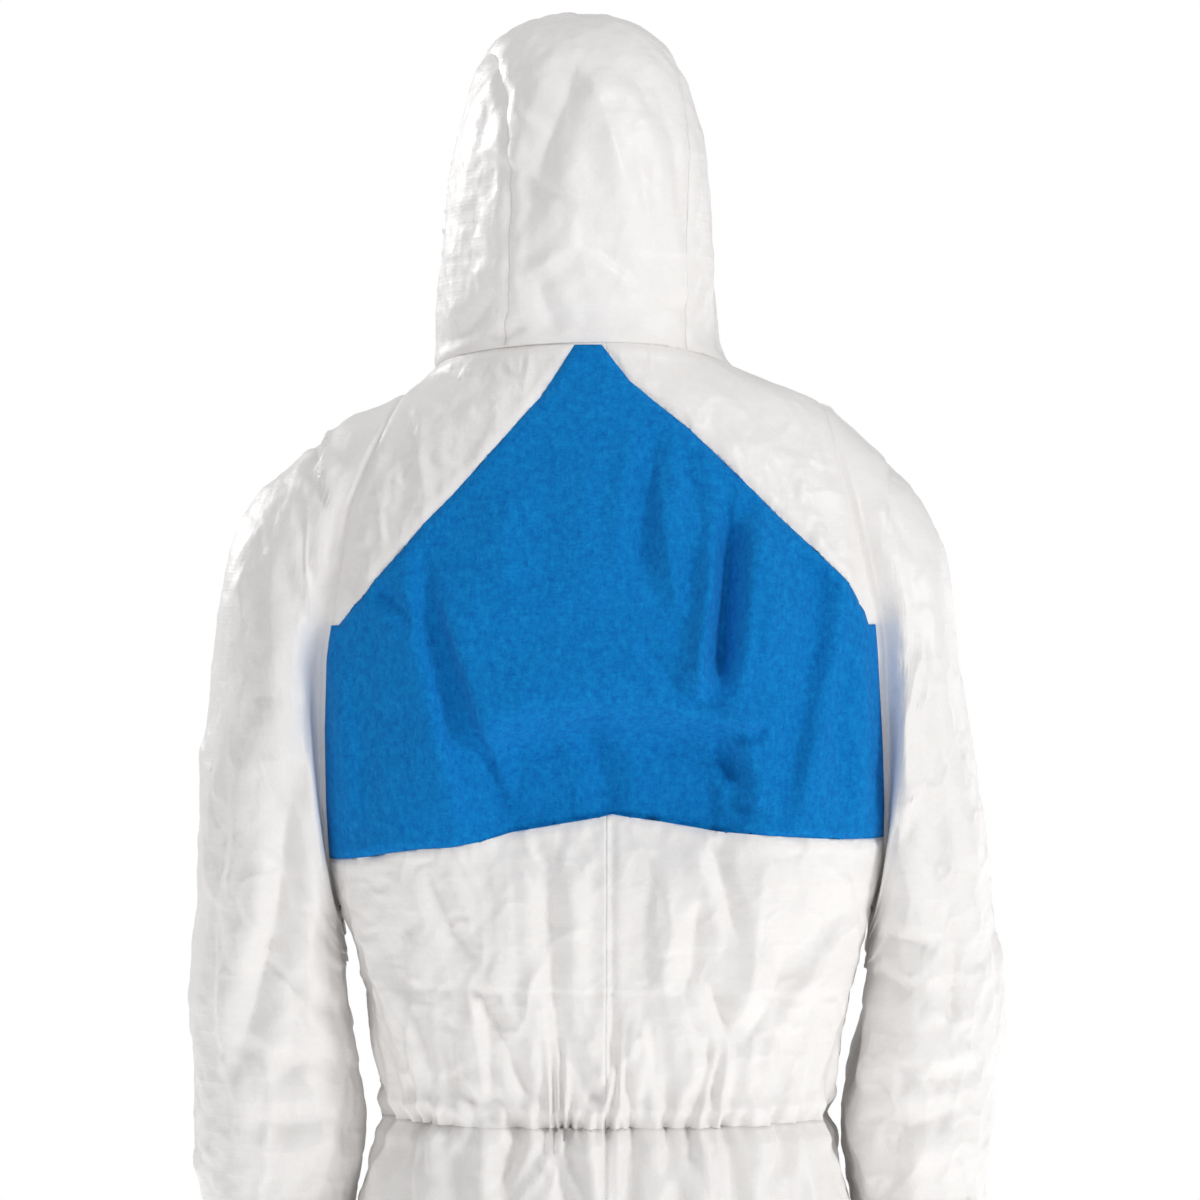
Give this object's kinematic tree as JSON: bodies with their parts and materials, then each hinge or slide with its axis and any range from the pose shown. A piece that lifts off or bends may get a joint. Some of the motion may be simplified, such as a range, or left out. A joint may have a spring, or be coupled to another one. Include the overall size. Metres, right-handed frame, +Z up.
{
  "type": "chemical protective suit",
  "caption": "Hooded disposable protective coverall with a breathable back panel, zip front under a storm flap, knitted cuffs and elasticated hood, waist and ankles.",
  "frame": {"origin": "middle of the neck at the height of the back neck point, where the wearer's shoulders carry the suit", "axes": "+Z up along the wearer, -Y out of the front of the suit, +X to the wearer's left"},
  "size_m": [0.55, 0.2712, 1.775],
  "materials": {
    "white_laminate": "semi-matt microporous film laminate on nonwoven, finely embossed",
    "blue_nonwoven": "matt breathable spunbond nonwoven, slightly mottled",
    "knit": "ribbed knit",
    "elastic": "woven elastic",
    "zip_tape": "woven tape",
    "zip_nylon": "satin nylon coil",
    "zip_metal": "satin off-white enamel on die-cast zinc"
  },
  "bodies": {
    "torso": {"back_vent_panel": "blue_nonwoven", "crotch_gusset": "white_laminate", "waist_elastic": "elastic", "zip_bottom_stop": "zip_nylon", "left_back_yoke": "white_laminate", "left_front_panel": "white_laminate", "left_groin_fold": "white_laminate", "left_lower_back": "white_laminate", "left_sleeve_cap": "white_laminate", "left_zip_coil": "zip_nylon", "left_zip_tape": "zip_tape", "left_zip_top_stop": "zip_nylon", "right_back_yoke": "white_laminate", "right_front_panel": "white_laminate", "right_groin_fold": "white_laminate", "right_lower_back": "white_laminate", "right_sleeve_cap": "white_laminate", "right_zip_coil": "zip_nylon", "right_zip_tape": "zip_tape", "right_zip_top_stop": "zip_nylon"},
    "hood": {"hood_centre_panel": "white_laminate", "hood_left_panel": "white_laminate", "hood_right_panel": "white_laminate", "hood_face_hem": "white_laminate", "hood_face_elastic": "elastic"},
    "storm_flap": {"storm_flap": "white_laminate"},
    "upper_slider": {"upper_slider": "zip_metal"},
    "upper_puller": {"upper_puller": "zip_metal"},
    "lower_slider": {"lower_slider": "zip_metal"},
    "lower_puller": {"lower_puller": "zip_metal"},
    "left_arm": {"left_sleeve": "white_laminate", "left_knitted_cuff": "knit"},
    "left_leg": {"left_leg_front": "white_laminate", "left_leg_back": "white_laminate", "left_ankle_hem": "white_laminate", "left_ankle_elastic": "elastic"},
    "right_arm": {"right_sleeve": "white_laminate", "right_knitted_cuff": "knit"},
    "right_leg": {"right_leg_front": "white_laminate", "right_leg_back": "white_laminate", "right_ankle_hem": "white_laminate", "right_ankle_elastic": "elastic"}
  },
  "joints": [
    {"name": "hood_fold", "type": "hinge", "parent": "torso", "child": "hood", "pos_m": [0, 0.0852, 0.0012], "axis": [-1, 0, 0], "range_deg": [0, 140]},
    {"name": "left_arm_raise", "type": "hinge", "parent": "torso", "child": "left_arm", "pos_m": [0.2032, 0, -0.0804], "axis": [0, -1, 0], "range_deg": [0, 80]},
    {"name": "right_arm_raise", "type": "hinge", "parent": "torso", "child": "right_arm", "pos_m": [-0.2003, 0, -0.096], "axis": [0, 1, 0], "range_deg": [0, 80]},
    {"name": "left_leg_swing", "type": "hinge", "parent": "torso", "child": "left_leg", "pos_m": [0.097, 0.01, -0.82], "axis": [-1, 0, 0], "range_deg": [0, 35], "deforming": ["left_groin_fold"]},
    {"name": "right_leg_swing", "type": "hinge", "parent": "torso", "child": "right_leg", "pos_m": [-0.097, 0.01, -0.82], "axis": [-1, 0, 0], "range_deg": [0, 35], "deforming": ["right_groin_fold"]},
    {"name": "storm_flap_open", "type": "hinge", "parent": "torso", "child": "storm_flap", "pos_m": [-0.0302, -0.12537, -0.407], "axis": [0, -0.0138, -0.9999], "range_deg": [0, 150]},
    {"name": "upper_zip_slide", "type": "slide", "parent": "torso", "child": "upper_slider", "axis": [0, -0.0138, -0.9999], "range_m": [0, 0.5]},
    {"name": "lower_zip_slide", "type": "slide", "parent": "torso", "child": "lower_slider", "axis": [0, 0.0138, 0.9999], "range_m": [0, 0.17]},
    {"name": "upper_puller_tilt", "type": "hinge", "parent": "upper_slider", "child": "upper_puller", "pos_m": [0, -0.12298, -0.0525], "axis": [-1, 0, 0], "range_deg": [0, 170]},
    {"name": "lower_puller_tilt", "type": "hinge", "parent": "lower_slider", "child": "lower_puller", "pos_m": [0, -0.13269, -0.7565], "axis": [-1, 0, 0], "range_deg": [0, 120]}
  ]
}
